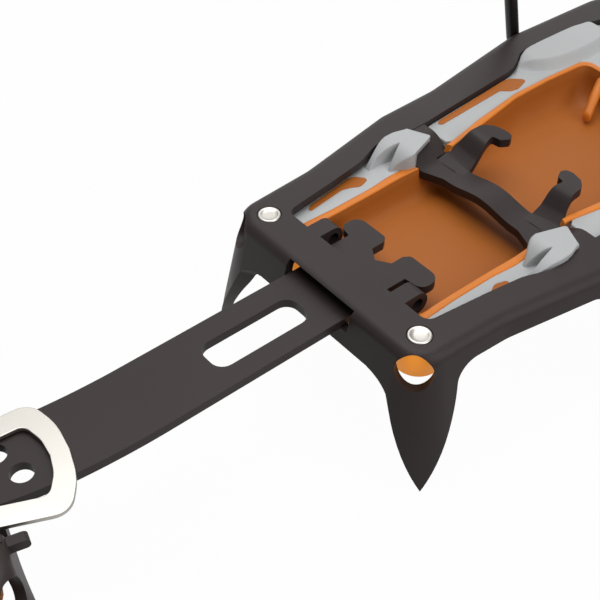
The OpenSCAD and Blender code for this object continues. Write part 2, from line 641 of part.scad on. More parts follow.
module on_heel() on_bar() translate([0, heel_offset, 0]) children();
heel_front_u = -1.5;
heel_corner = [-heel_front_corner_r, heel_front_half_w - heel_front_corner_r];
heel_rear_corner = [-heel_l + heel_rear_corner_r, heel_rear_half_w - heel_rear_corner_r];
heel_bail_u = heel_front_u - heel_bail_back;
throat_half_w = clip_half_w + 0.6;
cheek_t = 2.5;
pin_r = 1;
eye_r = 1.9;
pin_u = -26;
pin_z = -bar_drop + slide_gap + eye_r;
bar_floor = -bar_drop - bar_t - slide_gap;
module heel_skirt_shape() {
    translate([-heel_l - 20, -heel_rear_corner.y - 0.1, -end_band])
        cube([40, 2 * heel_rear_corner.y + 0.2, end_band + 1]);
    translate([-5, -heel_corner.y - 0.1, -end_band]) cube([25, 2 * heel_corner.y + 0.2, end_band + 1]);
    translate([-heel_l, 0, -side_band]) cube([heel_l, heel_front_half_w + 20, side_band + 1]);
    // A hair less deep than the bands, so no two faces coincide
    point_cut(heel_corner, 56, 30, side_band - 0.02, 16, end_band - 0.02, 16);
    point_cut(heel_rear_corner, 118, 35, end_band - 0.02, 16, side_band - 0.02, 20);
    translate([-heel_bail_back, 15, 0]) rotate([-90, 0, 0]) linear_extrude(40) polygon(rounded([
        [-14, -1, 0], [14, -1, 0], [14, side_band - 1, 0], [7, ear_depth, 4], [-7, ear_depth, 4],
        [-14, side_band - 1, 0]]));
}
module heel_opening() {
    polygon(rounded([[-37.6, -20, 2], [-37.6, 20, 2], [-64.8, 20, 2], [-64.8, -20, 2]]));
}
module heel_frame() color(steel) on_heel() difference() {
    union() {
        translate([heel_front_u, 0, 0]) {
            difference() {
                top_plate(heel_path);
                translate([0, 0, -5]) linear_extrude(10) {
                    translate([-30 - heel_front_u, -throat_half_w]) square([60, 2 * throat_half_w]);
                    heel_opening();
                }
            }
            for (s = [1, -1]) scale([1, s, 1]) intersection() {
                half_skirt(heel_path);
                heel_skirt_shape();
            }
        }
        // Cheeks beside the throat, drawn forward past the front wall
        for (s = [0, 1]) mirror([0, s, 0]) translate([0, throat_half_w + cheek_t, 0]) rotate([90, 0, 0])
            linear_extrude(cheek_t) polygon(rounded([[-32, -0.6, 0], [-32, -5, 3], [-24, -8.2, 5],
                [-4, -8.2, 3], [-1, -5.6, 3], [3.7, -5.6, 1], [3.7, -3, 1.2], [-1.5, -3, 0], [-1.8, -0.6, 0]]));
    }
    // Windows for the bar and the clip, at the front and at the rear
    translate([-12, -throat_half_w, bar_floor]) cube([30, 2 * throat_half_w, 30]);
    translate([-heel_l - 20, -heel_offset - bar_w / 2 - 1, bar_floor])
        cube([30, bar_w + 2, bar_t + 2 * slide_gap]);
    translate([pin_u, -40, pin_z]) rotate([-90, 0, 0]) cylinder(h = 80, r = pin_r + 0.02);
    for (s = [1, -1]) {
        translate([heel_front_u - 10, s * 24.5, 0]) rivet_hole();
        translate([heel_front_u - 64, s * 23, 0]) rivet_hole();
        translate([heel_corner.x + heel_front_u - relief_start.x, s * (heel_corner.y + relief_start.y),
                   -0.6 - relief_r])
            rotate([0, 0, s * (180 - relief_turn)]) rotate([0, 90, 0]) cylinder(h = 30, r = relief_r);
        translate([heel_bail_u, s * 20, -bail_drop]) rotate([-90 * s, 0, 0])
            cylinder(h = 30, d = wire_d + 2 * wire_gap);
    }
}
module heel_rivets() color(bright) on_heel() for (s = [1, -1]) {
    translate([heel_front_u - 10, s * 24.5, 0]) rivet(sheet_t);
    translate([heel_front_u - 64, s * 23, 0]) rivet(sheet_t);
}
// Trough under the heel, over the bar, with a floor on each side of it
module heel_tray() color(orange) on_heel() difference() {
    union() {
        for (s = [0, 1]) mirror([0, s, 0]) translate([heel_front_u, 0, 0]) {
            rotate([90, 0, 90]) translate([0, 0, -63.4]) linear_extrude(24.8) polygon([
                [17.2, -sheet_t + 1], [19, -sheet_t + 1], [19, -4], [17.6, -12], [15.4, -12], [17.2, -4]]);
            translate([-63.4, 14.4, -12]) cube([24.8, 3.4, tray_t]);
        }
        // Aprons inside the front corners
        for (s = [0, 1]) mirror([0, s, 0]) slab(-8.9, -sheet_t - 0.4, rounded([
            [-4.2, 19.6, 0], [-4.2, 30, 6], [-14, 29.5, 0], [-14, 27.8, 0], [-6, 28.2, 4.4], [-6, 19.6, 0]]));
        translate([heel_front_u - 39.9, -19, -12]) cube([tray_t, 38, 12 - 1.6]);
        translate([heel_front_u - 63.7, -17.4, -12]) cube([tray_t, 34.8, 12 - 1.6]);
    }
    translate([-heel_l - 20, -heel_offset - bar_w / 2 - 1, bar_floor])
        cube([heel_l + 30, bar_w + 2, bar_t + 2 * slide_gap]);
}
module heel_inserts() color(grey) on_heel() for (s = [0, 1]) mirror([0, s, 0])
    translate([heel_front_u, 0, 0])
        slab(-sheet_t - flange_t, -sheet_t, [[-60, 19.4], [-36, 19.4], [-36, 26], [-60, 25]]);
module heel_inlays() color(orange) on_heel() for (s = [0, 1]) mirror([0, s, 0])
    translate([heel_front_u, 0, 0])
        slab(-sheet_t - flange_t - 0.9, -sheet_t - flange_t, [[-58, 20.2], [-40, 20.2], [-40, 23.5], [-58, 22.5]]);

// SIZE CLIP

clip_z = -bar_drop + slide_gap;
clip_toe_u = 17;
function clip_side(u) = clip_half_w - (10.5 - u) * tan(clip_taper);
function window_side(u) = window_half_w - (10.5 - u) * tan(clip_taper);
module clip_shape() {
    difference() {
        polygon(mirrored([for (q = rounded([
            [clip_toe_u + 0.6, 0, 0], [clip_toe_u, 8, 18], [13.2, clip_side(13.2), 5],
            [-20, clip_side(-20), 3], [-22.5, 7.5, 2], [pin_u, 7.5, 0], [pin_u, 0, 0]], 8)) q]));
        polygon(mirrored([for (q = rounded([
            [13.2, 0, 0], [12.6, 5, 9], [10.2, window_side(10.2), 2.5], [-9, window_side(-9), 3],
            [-9, 0, 0]], 8)) q]));
    }
}
// Flat ring over the bar, with an eye rolled round the pin
module size_clip() color(bright) on_heel() difference() {
    union() {
        translate([0, 0, clip_z]) linear_extrude(clip_t) clip_shape();
        translate([pin_u, -7.5, pin_z]) rotate([-90, 0, 0]) cylinder(h = 15, r = eye_r);
    }
    translate([pin_u, -20, pin_z]) rotate([-90, 0, 0]) cylinder(h = 40, r = pin_r + 0.05);
}
module size_pegs() color(bright) on_bar() for (row = [1, -1])
    translate([hole_u(peg_index - (row > 0 ? 1 : 0), row), row_shift + row * row_gap / 2, clip_z - 1.9])
        cylinder(h = 1.9, r1 = peg_r - 0.8, r2 = peg_r);
module clip_pin() color(bright) on_heel() translate([pin_u, -throat_half_w - cheek_t, pin_z])
    rotate([-90, 0, 0]) cylinder(h = 2 * (throat_half_w + cheek_t), r = pin_r);

// HEEL BAIL AND LEVER

module on_heel_bail() on_heel() translate([heel_bail_u, 0, -bail_drop]) rotate([0, -heel_bail_lean, 0])
    children();
heel_leg_y = 36;
// Lever parts are drawn from the bail's crossbar: x towards the boot, z up the lever
module on_lever() on_heel_bail() translate([0, 0, heel_bail_l]) children();
screw_x = -5.6;
web_z = 28;
web_t = 3;
lever_wall = 2.6;
module heel_bail() color(steel) on_heel_bail() bail(heel_leg_y, 6.5, heel_bail_l - 20, 20);
module height_nut() color(bright) on_lever() difference() {
    translate([screw_x - 4.4, -6, -4.5]) cube([3.6 - screw_x + 4.4, 12, 9]);
    rotate([90, 0, 0]) cylinder(h = 30, d = wire_d + 0.1, center = true);
    translate([screw_x, 0, -10]) cylinder(h = 20, d = screw_d + 0.1);
}
module lever_side() {
    translate([0, lever_w / 2, 0]) rotate([90, 0, 0]) linear_extrude(lever_w) polygon(rounded([
        [5, -16, 2], [5, 12, 12], [1, 32, 20], [-1, lever_h - 26, 16], [3, lever_h - 15, 3],
        [-1.5, lever_h - 13, 2], [-8, lever_h - 26, 16], [-13.5, 30, 30], [-13.5, -6, 16], [-9, -16, 2]]));
}
module heel_lever() color(black) on_lever() difference() {
    lever_side();
    // Channel for the nut, window for the knob, and slots for the bail wire
    translate([-13.5 + lever_wall, -lever_w / 2 + lever_wall, -12])
        cube([40, lever_w - 2 * lever_wall, web_z + 12]);
    translate([-30, -8, web_z + web_t]) cube([60, 16, 10]);
    translate([-wire_d / 2 - 0.6, -30, -5]) cube([40, 60, 10]);
    translate([screw_x, 0, 0]) cylinder(h = 40, d = screw_d + 0.1);
    for (s = [1, -1]) translate([-2, s * 9, -30]) cylinder(h = 20, d = rivet_d);
}
module welt_claw() color(steel) on_lever() difference() {
    translate([0, 13, 0]) rotate([90, 0, 0]) linear_extrude(26) polygon([
        [-8, -16], [-8, -18.5], [9.5, -18.5], [14.5, -13.5], [12.7, -11.8], [8.5, -16]]);
    translate([9, -7, -30]) cube([10, 14, 30]);
    for (s = [1, -1]) translate([-2, s * 9, -30]) cylinder(h = 20, d = rivet_d);
}
module height_screw() color(bright) on_lever() translate([screw_x, 0, -10])
    cylinder(h = web_z + web_t + 12, d = screw_d);
module height_knob() color(orange) on_lever() translate([screw_x, 0, web_z + web_t + 0.4]) difference() {
    cylinder(h = 8, d = 13);
    for (a = [0:45:315]) rotate([0, 0, a]) translate([7.4, 0, -1]) cylinder(h = 12, d = 3);
    translate([0, 0, -1]) cylinder(h = 20, d = screw_d);
}
module claw_rivets() color(bright) on_lever() for (s = [1, -1]) translate([-2, s * 9, 0]) {
    translate([0, 0, -19.4]) cylinder(h = 0.9, d = rivet_head_d);
    translate([0, 0, -18.6]) cylinder(h = 6.4, d = rivet_d);
}

front_frame();
front_tray();
front_insert_left();
front_insert_right();
front_inlays();
front_rivets();
link_bar();
toe_bail();
heel_frame();
heel_tray();
heel_inserts();
heel_inlays();
heel_rivets();
size_clip();
size_pegs();
clip_pin();
heel_bail();
height_nut();
heel_lever();
welt_claw();
height_screw();
height_knob();
claw_rivets();
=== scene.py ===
"""Dresses the mountaineering crampon: its finishes, its fine pieces, the camera and the light.

Lengths are in millimetres in the classes below and become metres when a mesh is made. X runs
towards the toe, Y towards the wearer's left and Z up, with Z = 0 on the face under the boot.
"""

from __future__ import annotations

import json
import logging
import math
from dataclasses import dataclass, field
from enum import Enum
from typing import Callable

import bmesh
import bpy
import numpy as np
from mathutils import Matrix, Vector

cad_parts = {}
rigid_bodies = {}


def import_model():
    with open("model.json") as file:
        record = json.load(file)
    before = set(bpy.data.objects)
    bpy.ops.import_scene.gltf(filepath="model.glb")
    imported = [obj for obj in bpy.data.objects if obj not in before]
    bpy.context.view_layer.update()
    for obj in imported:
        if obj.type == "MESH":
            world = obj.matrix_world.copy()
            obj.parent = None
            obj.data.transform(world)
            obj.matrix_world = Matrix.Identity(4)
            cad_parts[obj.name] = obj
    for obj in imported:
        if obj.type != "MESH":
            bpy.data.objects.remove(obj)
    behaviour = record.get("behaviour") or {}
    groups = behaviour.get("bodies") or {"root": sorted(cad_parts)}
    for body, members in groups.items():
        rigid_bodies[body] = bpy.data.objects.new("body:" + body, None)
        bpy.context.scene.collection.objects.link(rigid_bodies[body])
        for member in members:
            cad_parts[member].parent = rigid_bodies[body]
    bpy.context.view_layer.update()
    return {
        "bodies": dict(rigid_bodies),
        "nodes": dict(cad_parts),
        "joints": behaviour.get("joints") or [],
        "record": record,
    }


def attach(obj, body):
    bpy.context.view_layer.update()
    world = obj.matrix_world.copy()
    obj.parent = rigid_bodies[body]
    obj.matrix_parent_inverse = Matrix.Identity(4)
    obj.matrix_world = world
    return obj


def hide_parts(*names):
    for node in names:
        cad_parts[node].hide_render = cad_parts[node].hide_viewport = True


log = logging.getLogger("crampon")
MM = 0.001
Array = np.ndarray
WHITE = (1.0, 1.0, 1.0, 1.0)
# How far a finish's roughness wanders either way, and how strongly its grain shows
ROUGHNESS_SPREAD = 0.05
BUMP_STRENGTH = 0.35
# How far light goes under a plastic's surface, and each colour's share of that
SCATTER_DEPTH = 1.5
SCATTER = (1.0, 0.5, 0.2)
# Angles in degrees: a crease in a grid, an edge to be rounded, and faces that count as flat
CREASE_ANGLE = 48
EDGE_ANGLE = 28
FLAT_ANGLE = 0.4
# Points that are closer together than this are one
WELD = 0.002


def linear(hex_colour: str) -> tuple[float, float, float, float]:
    """Turn an sRGB hex value into linear RGBA by the sRGB curve.

    Args:
        hex_colour: six hex digits after a hash sign.

    Returns:
        Red, green, blue and an alpha of 1.
    """
    parts = np.array([int(hex_colour[i:i + 2], 16) for i in (1, 3, 5)]) / 255
    parts = np.where(parts <= 0.04045, parts / 12.92, ((parts + 0.055) / 1.055) ** 2.4)
    return (*(float(p) for p in parts), 1.0)


def add(tree: bpy.types.NodeTree, kind: str, links: dict | None = None,
        **settings) -> bpy.types.Node:
    """Add a node, set its properties and sockets, and link its inputs.

    Args:
        tree: the node tree.
        kind: the node's type name.
        links: input socket name or number to the output socket that feeds it.
        settings: values by the name of a property, or else of a socket.

    Returns:
        The new node.
    """
    node = tree.nodes.new(kind)
    for name, value in settings.items():
        if hasattr(node, name):
            setattr(node, name, value)
        else:
            node.inputs[name].default_value = value
    for name, source in (links or {}).items():
        tree.links.new(source, node.inputs[name])
    return node


class Grain(Enum):
    """Surface textures, as the size of their grain in millimetres and the height of it."""

    COATED = (0.55, 0.012)
    MOULDED = (0.8, 0.008)
    POLISHED = (0.25, 0.001)
    DRAWN = (0.4, 0.004)


@dataclass(frozen=True)
class Finish:
    """A material: its colours, its gloss and the grain of its surface.

    Attributes:
        name: what it is and how its surface was made.
        base: main colour.
        worn: colour of the slow patches that handling and the mould leave.
        roughness: middle roughness.
        grain: texture of the surface.
        patch_mm: size of the slow patches.
        metallic: 1 for bare metal.
        glow: share of light that passes under the surface, for plastics.
        sheen: strength of its mirror-like light, 0.5 for a plain surface.
        through: strength of a painted glow, an emission for light through a thin wall.
    """

    name: str
    base: str
    worn: str
    roughness: float
    grain: Grain
    patch_mm: float
    metallic: float = 0.0
    glow: float = 0.0
    sheen: float = 0.5
    through: float = 0.0

    def make(self) -> bpy.types.Material:
        """Build the node material.

        Slow noise mixes the two colours and moves the roughness, and fine noise of the
        grain's size drives a bump of the grain's height.
        """
        material = bpy.data.materials.new(self.name)
        material.use_nodes = True
        tree = material.node_tree
        tree.nodes.clear()
        place = add(tree, "ShaderNodeTexCoord").outputs["Object"]
        patches = add(tree, "ShaderNodeTexNoise", {"Vector": place}, Scale=1 / (self.patch_mm * MM),
                      Detail=3.0, Roughness=0.5)
        colour = add(tree, "ShaderNodeMix", {"Factor": patches.outputs["Fac"]}, data_type="RGBA")
        colour.inputs[6].default_value = linear(self.base)
        colour.inputs[7].default_value = linear(self.worn)
        gloss = add(tree, "ShaderNodeMapRange", {"Value": patches.outputs["Fac"]})
        gloss.inputs["To Min"].default_value = self.roughness - ROUGHNESS_SPREAD
        gloss.inputs["To Max"].default_value = self.roughness + ROUGHNESS_SPREAD
        size, height = self.grain.value
        fine = add(tree, "ShaderNodeTexNoise", {"Vector": place}, Scale=1 / (size * MM), Detail=2.0)
        bump = add(tree, "ShaderNodeBump", {"Height": fine.outputs["Fac"]}, Strength=BUMP_STRENGTH,
                   Distance=height * MM)
        shader = add(tree, "ShaderNodeBsdfPrincipled",
                     {"Base Color": colour.outputs[2], "Roughness": gloss.outputs["Result"],
                      "Normal": bump.outputs["Normal"]}, Metallic=self.metallic)
        if not self.metallic:
            shader.inputs["Specular IOR Level"].default_value = self.sheen
        # Painted glow: an emission in the base colour stands in for light through a thin wall
        if self.through:
            shader.inputs["Emission Color"].default_value = linear(self.base)
            shader.inputs["Emission Strength"].default_value = self.through
        if self.glow:
            shader.inputs["Subsurface Weight"].default_value = self.glow
            shader.inputs["Subsurface Radius"].default_value = SCATTER
            shader.inputs["Subsurface Scale"].default_value = SCATTER_DEPTH * MM
        add(tree, "ShaderNodeOutputMaterial", {"Surface": shader.outputs["BSDF"]})
        return material


# Pressed alloy steel under a satin dark coat: even, soft, faintly warm
COATED_STEEL = Finish("coated_alloy_steel", "#312928", "#2c2524", 0.42, Grain.COATED, 24, sheen=0.2)
# Spring wire, blued: darker and glossier than the plate
BLUED_WIRE = Finish("blued_spring_wire", "#292423", "#241f1f", 0.33, Grain.DRAWN, 12, sheen=0.3)
# Stainless sheet, polished: almost white where it faces the light
POLISHED_STEEL = Finish("polished_stainless", "#b9b6b0", "#aeaba5", 0.3, Grain.POLISHED, 18,
                        metallic=1.0)
# Orange polyamide, moulded: smooth, with a little light under the surface
ORANGE_NYLON = Finish("moulded_orange_polyamide", "#ab6225", "#a35c21", 0.48, Grain.MOULDED, 40,
                      glow=0.05, sheen=0.2)
# The same polyamide on the trough's rim and ribs, smoother, painted paler as a painted highlight
ORANGE_PAINTED_HIGHLIGHT = Finish("orange_polyamide_painted_highlight", "#da7f2d", "#d17624", 0.42, Grain.MOULDED, 40,
                    glow=0.08, sheen=0.3)
# Thin polyamide: painted paler with an emission, a painted glow for light coming through from
# behind
ORANGE_PAINTED_GLOW = Finish("orange_polyamide_painted_glow", "#f79a38", "#f4912e", 0.42, Grain.MOULDED, 40,
                     glow=0.1, sheen=0.3, through=0.55)
# Grey polyamide, moulded: neutral and smooth
GREY_NYLON = Finish("moulded_grey_polyamide", "#b4b6b6", "#adafb0", 0.42, Grain.MOULDED, 40,
                    glow=0.05, sheen=0.35)
# Black polyamide, moulded: plain, as on any lever
BLACK_NYLON = Finish("moulded_black_polyamide", "#2b2828", "#262323", 0.45, Grain.MOULDED, 40)


@dataclass
class Shell:
    """Gathers grids of points, in millimetres, into one mesh."""

    points: list[Array] = field(default_factory=list)
    faces: list[list[int]] = field(default_factory=list)

    def grid(self, grid: Array, wrap: bool = True, caps: bool = True) -> None:
        """Add a grid whose rows are joined to each other.

        Args:
            grid: rows x columns x 3 points.
            wrap: join each row's last point to its first.
            caps: close the first and the last row with one face each.
        """
        rows, cols = grid.shape[:2]
        base = sum(len(part) for part in self.points)
        number = base + np.arange(rows * cols).reshape(rows, cols)
        right = np.roll(number, -1, axis=1)
        quads = np.stack([number[:-1], right[:-1], right[1:], number[1:]], axis=-1)
        if not wrap:
            quads = quads[:, :-1]
        self.points.append(grid.reshape(-1, 3))
        self.faces += quads.reshape(-1, 4).tolist()
        if caps:
            self.faces.append(number[0][::-1].tolist())
            self.faces.append(number[-1].tolist())

    def mesh(self, name: str) -> bpy.types.Mesh:
        """Make the mesh in metres, with its faces turned outwards and shaded smooth."""
        mesh = bpy.data.meshes.new(name)
        mesh.from_pydata((np.concatenate(self.points) * MM).tolist(), [], self.faces)
        work = bmesh.new()
        work.from_mesh(mesh)
        bmesh.ops.recalc_face_normals(work, faces=work.faces)
        work.to_mesh(mesh)
        work.free()
        mesh.polygons.foreach_set("use_smooth", np.ones(len(mesh.polygons), dtype=bool))
        mesh.set_sharp_from_angle(angle=math.radians(CREASE_ANGLE))
        return mesh


def rounded_line(corners: Array, radii: Array, steps: int = 12) -> Array:
    """Round the inner corners of an open line in a plane.

    Each corner becomes an arc that starts and ends at radius x tan(half the turn) from it.

    Args:
        corners: n x 2 points.
        radii: the radius at each of the n - 2 inner corners.
        steps: points on each arc.

    Returns:
        The line's points, its two ends included.
    """
    ahead = np.diff(corners, axis=0)
    ahead /= np.linalg.norm(ahead, axis=1, keepdims=True)
    before, after = ahead[:-1], ahead[1:]
    turn = np.arctan2(before[:, 0] * after[:, 1] - before[:, 1] * after[:, 0],
                      (before * after).sum(axis=1))
    side = np.sign(turn)[:, None] * np.stack([-before[:, 1], before[:, 0]], axis=1)
    start = corners[1:-1] - before * (radii * np.tan(np.abs(turn) / 2))[:, None]
    centre = start + side * radii[:, None]
    share = np.linspace(0, 1, steps)[None, :, None]
    angle = turn[:, None, None] * share
    out = -side[:, None, :]
    across = np.stack([-out[..., 1], out[..., 0]], axis=-1)
    spoke = np.cos(angle) * out + np.sin(angle) * across
    arcs = centre[:, None, :] + radii[:, None, None] * spoke
    return np.concatenate([corners[:1], arcs.reshape(-1, 2), corners[-1:]])


def both_sides(half: Array) -> Array:
    """Mirror a half outline, whose ends lie on the X axis, into a whole one."""
    return np.concatenate([half, half[-2:0:-1] * (1, -1)])


def loop(corners: Array, count: int, blur: float) -> Array:
    """Make a smooth closed outline from its corners.

    Points are spread evenly along the outline, and a circular Gaussian blur over the given
    length rounds its corners.

    Args:
        corners: n x 2 points, not closed.
        count: points on the outline.
        blur: standard deviation of the blur, in millimetres.

    Returns:
        count x 2 points.
    """
    whole = np.concatenate([corners, corners[:1]])
    along = np.concatenate([[0], np.cumsum(np.linalg.norm(np.diff(whole, axis=0), axis=1))])
    place = np.linspace(0, along[-1], count, endpoint=False)
    even = np.stack([np.interp(place, along, whole[:, k]) for k in (0, 1)], axis=1)
    wave = np.fft.fftfreq(count, along[-1] / count)
    filtered = np.fft.fft(even, axis=0) * np.exp(-2 * (np.pi * wave * blur) ** 2)[:, None]
    return np.fft.ifft(filtered, axis=0).real


def smooth(value: Array) -> Array:
    """Ease from 0 to 1 with no slope at either end, clamped outside."""
    t = np.clip(value, 0, 1)
    return t * t * (3 - 2 * t)


def lathe(profile: Array, count: int = 48) -> Array:
    """Turn a profile of radius and height about Z into a grid."""
    angle = np.linspace(0, 2 * np.pi, count, endpoint=False)[None, :]
    radius, height = profile[:, :1], profile[:, 1:]
    return np.stack([radius * np.cos(angle), radius * np.sin(angle), height + 0 * angle], axis=-1)


def wire(path: Array, flat: Array, radius: float, sides: int = 28) -> Array:
    """Run a round section along a path that lies in a plane.

    Args:
        path: n x 3 points.
        flat: unit normal of the path's plane.
        radius: of the wire; each end closes over a quarter ellipse to a quarter of it.
        sides: points round the section.

    Returns:
        A grid with one row for each station.
    """
    ahead = np.gradient(path, axis=0)
    ahead /= np.linalg.norm(ahead, axis=1, keepdims=True)
    side = np.cross(flat, ahead)
    angle = np.linspace(0, 2 * np.pi, sides, endpoint=False)
    ring = np.cos(angle)[None, :, None] * side[:, None, :] + np.sin(angle)[None, :, None] * flat
    dome = np.linspace(0, np.pi / 2, 6)[:-1]
    reach = 0.5 * radius * np.cos(dome)[:, None]
    swell = 0.25 + 0.75 * np.sin(dome)
    head = path[0] - ahead[0] * reach
    tail = path[-1] + ahead[-1] * reach[::-1]
    places = np.concatenate([head, path, tail])[:, None, :]
    spans = np.concatenate([swell, np.ones(len(path)), swell[::-1]])
    first, last = (np.repeat(end, len(dome), axis=0) for end in (ring[:1], ring[-1:]))
    rings = np.concatenate([first, ring, last])
    return places + radius * spans[:, None, None] * rings


@dataclass
class Camera:
    """The photograph's camera, in millimetres."""

    place: tuple[float, float, float] = (-145.3, -160.5, 200.8)
    forward: tuple[float, float, float] = (0.4561, 0.5527, -0.6975)
    lens: float = 72.39
    sensor: float = 36.0
    nearest: float = 10.0

    def build(self) -> None:
        """Place the camera, level, looking along forward."""
        data = bpy.data.cameras.new("camera")
        data.lens = self.lens
        data.sensor_width = self.sensor
        data.clip_start = self.nearest * MM
        camera = bpy.data.objects.new("camera", data)
        camera.location = Vector(self.place) * MM
        camera.rotation_euler = Vector(self.forward).to_track_quat("-Z", "Y").to_euler()
        bpy.context.collection.objects.link(camera)
        bpy.context.scene.camera = camera


@dataclass(frozen=True)
class Lamp:
    """A square area lamp.

    Attributes:
        name: of the lamp.
        place: of its middle, in millimetres.
        aim: point that it faces.
        side: length of its side.
        watts: its power.
    """

    name: str
    place: tuple[float, float, float]
    aim: tuple[float, float, float]
    side: float
    watts: float

    def hang(self) -> None:
        """Make the lamp and turn it to its aim."""
        data = bpy.data.lights.new(self.name, "AREA")
        data.size = self.side * MM
        data.energy = self.watts
        lamp = bpy.data.objects.new(self.name, data)
        lamp.location = Vector(self.place) * MM
        towards = Vector(self.aim) - Vector(self.place)
        lamp.rotation_euler = towards.to_track_quat("-Z", "Y").to_euler()
        bpy.context.collection.objects.link(lamp)


@dataclass
class Studio:
    """A white floor and soft light from all round, with a large lamp overhead.

    Attributes:
        floor_z: height of the floor, just under the points.
        floor_half: half of the floor's side.
        world_level: strength of the light from all round.
        paper: how white the floor is to the light that it throws back.
        whiteness: share of plain white in what the camera sees of the floor.
        mirrored: strength of the white that glossy surfaces mirror.
        lamps: the large lamps.
    """

    floor_z: float = -40.2
    floor_half: float = 3000.0
    world_level: float = 0.12
    paper: float = 0.6
    whiteness: float = 0.975
    mirrored: float = 0.6
    lamps: tuple[Lamp, ...] = (
        Lamp("key", (80, 160, 850), (20, 20, 0), 800, 6.2),
        Lamp("rim", (680, 820, 640), (60, 20, 0), 900, 2.6),
        Lamp("fill", (180, -620, 420), (60, 0, 0), 700, 3.3))

    def build(self) -> None:
        """Make the world, the floor and the lamps."""
        world = bpy.data.worlds.new("studio")
        bpy.context.scene.world = world
        world.use_nodes = True
        tree = world.node_tree
        tree.nodes.clear()
        dim = add(tree, "ShaderNodeBackground", Color=WHITE, Strength=self.world_level)
        white = add(tree, "ShaderNodeBackground", Color=WHITE, Strength=1.0)
        mix = add(tree, "ShaderNodeMixShader",
                  {0: self.seen(tree), 1: dim.outputs[0], 2: white.outputs[0]})
        add(tree, "ShaderNodeOutputWorld", {"Surface": mix.outputs[0]})
        self.floor()
        for lamp in self.lamps:
            lamp.hang()

    def seen(self, tree: bpy.types.NodeTree) -> bpy.types.NodeSocket:
        """Tell rays that should see white from the rest.

        Returns:
            1 for rays straight from the camera or through something clear, and the mirrored
            share for rays off a glossy surface.
        """
        path = add(tree, "ShaderNodeLightPath")
        straight = add(tree, "ShaderNodeMath",
                       {0: path.outputs["Is Camera Ray"], 1: path.outputs["Is Transmission Ray"]},
                       operation="MAXIMUM")
        glossy = add(tree, "ShaderNodeMath", {0: path.outputs["Is Glossy Ray"]},
                     operation="MULTIPLY")
        glossy.inputs[1].default_value = self.mirrored
        return add(tree, "ShaderNodeMath", {0: straight.outputs[0], 1: glossy.outputs[0]},
                   operation="MAXIMUM").outputs[0]

    def floor(self) -> None:
        """Lay a white floor that shows white to the camera and keeps a faint shadow."""
        mesh = bpy.data.meshes.new("floor")
        half, z = self.floor_half * MM, self.floor_z * MM
        corners = [(-half, -half, z), (half, -half, z), (half, half, z), (-half, half, z)]
        mesh.from_pydata(corners, [], [(0, 1, 2, 3)])
        floor = bpy.data.objects.new("floor", mesh)
        bpy.context.collection.objects.link(floor)
        material = bpy.data.materials.new("white_paper")
        material.use_nodes = True
        tree = material.node_tree
        tree.nodes.clear()
        paper = add(tree, "ShaderNodeBsdfPrincipled", Roughness=0.9)
        paper.inputs["Base Color"].default_value = (self.paper, self.paper, self.paper, 1)
        glow = add(tree, "ShaderNodeEmission", Color=WHITE, Strength=1.0)
        share = add(tree, "ShaderNodeMath", {0: self.seen(tree)}, operation="MULTIPLY")
        share.inputs[1].default_value = self.whiteness
        mix = add(tree, "ShaderNodeMixShader",
                  {0: share.outputs[0], 1: paper.outputs[0], 2: glow.outputs[0]})
        add(tree, "ShaderNodeOutputMaterial", {"Surface": mix.outputs[0]})
        mesh.materials.append(material)


class Workshop:
    """Keeps each finish's material and turns arrays into pieces on their bodies."""

    def __init__(self, frame: dict) -> None:
        """Take the loaded frame."""
        self.frame = frame
        self.made: dict[str, bpy.types.Material] = {}

    def material(self, finish: Finish) -> bpy.types.Material:
        """Return the finish's material, made on first use."""
        if finish.name not in self.made:
            self.made[finish.name] = finish.make()
        return self.made[finish.name]

    def piece(self, name: str, mesh: bpy.types.Mesh, finish: Finish, body: str,
              replaced: tuple[str, ...] = ()) -> bpy.types.Object:
        """Make a mesh an object that rides on a body.

        Args:
            name: the piece's name.
            mesh: its mesh, in metres, in the frame's place.
            finish: what it is made of.
            body: the body that carries it.
            replaced: CAD nodes that it stands for.

        Returns:
            The object.
        """
        mesh.materials.clear()
        mesh.materials.append(self.material(finish))
        made = bpy.data.objects.new(name, mesh)
        bpy.context.collection.objects.link(made)
        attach(made, body)
        if replaced:
            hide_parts(*replaced)
        log.info("%s: %d faces on %s", name, len(mesh.polygons), body)
        return made

    def softened(self, node: str, finish: Finish, body: str, width: float,
                 segments: int = 2, reshape: Callable[[Array], Array] | None = None) -> None:
        """Replace a CAD node with a copy whose edges are rounded, as tumbling rounds them.

        The copy's loose triangles are merged, flat neighbours become one face, and a Bevel
        rounds each edge that is sharper than the edge angle.

        Args:
            node: the CAD node.
            finish: what it is made of.
            body: the body that carries it.
            width: of the rounding, in millimetres.
            segments: faces across the rounding.
            reshape: moves the copy's points first, in millimetres.
        """
        mesh = self.frame["nodes"][node].data.copy()
        work = bmesh.new()
        work.from_mesh(mesh)
        bmesh.ops.remove_doubles(work, verts=work.verts, dist=WELD * MM)
        bmesh.ops.dissolve_limit(work, angle_limit=math.radians(FLAT_ANGLE), verts=work.verts,
                                 edges=work.edges)
        work.to_mesh(mesh)
        work.free()
        if reshape:
            flat = np.empty(len(mesh.vertices) * 3, dtype=np.float32)
            mesh.vertices.foreach_get("co", flat)
            moved = reshape(flat.reshape(-1, 3).astype(float) / MM) * MM
            mesh.vertices.foreach_set("co", moved.ravel())
        mesh.polygons.foreach_set("use_smooth", np.ones(len(mesh.polygons), dtype=bool))
        made = self.piece(node + "_soft", mesh, finish, body, (node,))
        bevel = made.modifiers.new("edges", "BEVEL")
        bevel.width = width * MM
        bevel.segments = segments
        bevel.limit_method = "ANGLE"
        bevel.angle_limit = math.radians(EDGE_ANGLE)
        bevel.harden_normals = False
        bevel.use_clamp_overlap = True
        shade = made.modifiers.new("shade", "WEIGHTED_NORMAL")
        shade.keep_sharp = True


